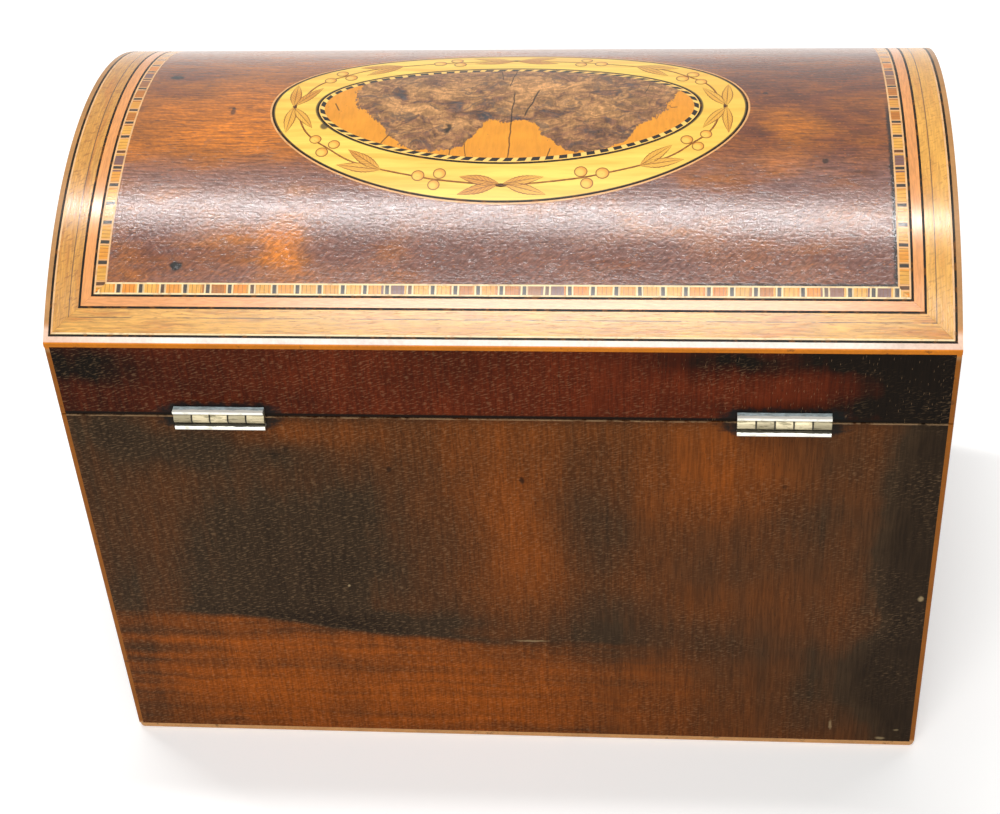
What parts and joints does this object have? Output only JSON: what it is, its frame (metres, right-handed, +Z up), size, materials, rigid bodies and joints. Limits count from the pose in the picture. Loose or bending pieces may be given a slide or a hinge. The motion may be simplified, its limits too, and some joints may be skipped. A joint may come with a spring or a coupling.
{
  "type": "tea caddy",
  "caption": "Dome-topped wooden tea caddy with inlaid lid on two brass hinges, lidded tea compartments and a box lock.",
  "frame": {"origin": "middle of the base, on the surface that the caddy stands on", "axes": "+X along the box, +Y towards the back with the hinges, +Z up"},
  "size_m": [0.184, 0.1107, 0.1409],
  "materials": {
    "mahogany_veneer": "old French-polished mahogany",
    "dome_mahogany": "old French-polished mahogany",
    "carcass_mahogany": "bare oiled wood",
    "interior_mahogany": "satin wood",
    "boxwood_string": "polished boxwood, aged orange",
    "black_line": "polished ebonised wood",
    "holly_line": "polished holly, aged",
    "satinwood_band": "polished satinwood",
    "tulipwood_band": "polished tulipwood",
    "ladder_banding": "polished pieced banding",
    "garland_satinwood": "polished satinwood with brown pen work",
    "rope_stringing": "polished black and white pieces",
    "burr_walnut": "polished burr",
    "brass": "bright rubbed brass",
    "steel": "dull old steel"
  },
  "bodies": {
    "case": {"case_back": "carcass_mahogany", "case_back_veneer": "mahogany_veneer", "case_base_string": "boxwood_string", "case_bottom": "carcass_mahogany", "case_corner_strings": "boxwood_string", "case_front": "carcass_mahogany", "case_front_veneer": "mahogany_veneer", "case_left_end": "carcass_mahogany", "case_left_end_veneer": "mahogany_veneer", "case_right_end": "carcass_mahogany", "case_right_end_veneer": "mahogany_veneer", "escutcheon": "brass", "hinge_case_screws": "brass", "hinge_pins": "steel", "left_hinge_case_leaf": "brass", "left_lining": "interior_mahogany", "lock_cap": "brass", "lock_key_pin": "steel", "lock_plate": "brass", "lock_screws": "brass", "lock_spring": "steel", "partition": "interior_mahogany", "right_hinge_case_leaf": "brass", "right_lining": "interior_mahogany"},
    "lid": {"dome_black_lines": "black_line", "dome_edge_strings": "boxwood_string", "dome_field": "dome_mahogany", "dome_ladder_band": "ladder_banding", "dome_light_lines": "holly_line", "dome_plain_band": "tulipwood_band", "dome_wide_band_inner": "satinwood_band", "dome_wide_band_outer": "satinwood_band", "hinge_lid_screws": "brass", "left_hinge_lid_leaf": "brass", "lid_back_rail": "carcass_mahogany", "lid_back_veneer": "mahogany_veneer", "lid_corner_strings": "boxwood_string", "lid_front_rail": "carcass_mahogany", "lid_front_veneer": "mahogany_veneer", "lid_left_end": "carcass_mahogany", "lid_left_end_veneer": "mahogany_veneer", "lid_right_end": "carcass_mahogany", "lid_right_end_veneer": "mahogany_veneer", "lid_staves": "carcass_mahogany", "link_plate": "brass", "link_plate_screws": "brass", "oval_black_lines": "black_line", "oval_burr_panel": "burr_walnut", "oval_garland_ring": "garland_satinwood", "oval_light_line": "holly_line", "oval_rope_string": "rope_stringing", "right_hinge_lid_leaf": "brass"},
    "left_inner_lid": {"left_inner_lid": "interior_mahogany", "left_inner_lid_knob": "brass"},
    "right_inner_lid": {"right_inner_lid": "interior_mahogany", "right_inner_lid_knob": "brass"},
    "lock_bolt": {"lock_bolt": "brass"}
  },
  "joints": [
    {"name": "lid_hinge", "type": "hinge", "parent": "case", "child": "lid", "pos_m": [0, 0.0546, 0.1007], "axis": [-1, 0, 0], "range_deg": [0, 95]},
    {"name": "left_inner_lid_lift", "type": "slide", "parent": "case", "child": "left_inner_lid", "axis": [0, 0, 1], "range_m": [0, 0.016]},
    {"name": "right_inner_lid_lift", "type": "slide", "parent": "case", "child": "right_inner_lid", "axis": [0, 0, 1], "range_m": [0, 0.016]},
    {"name": "lock_bolt_throw", "type": "slide", "parent": "case", "child": "lock_bolt", "axis": [1, 0, 0], "range_m": [0, 0.0032]}
  ]
}
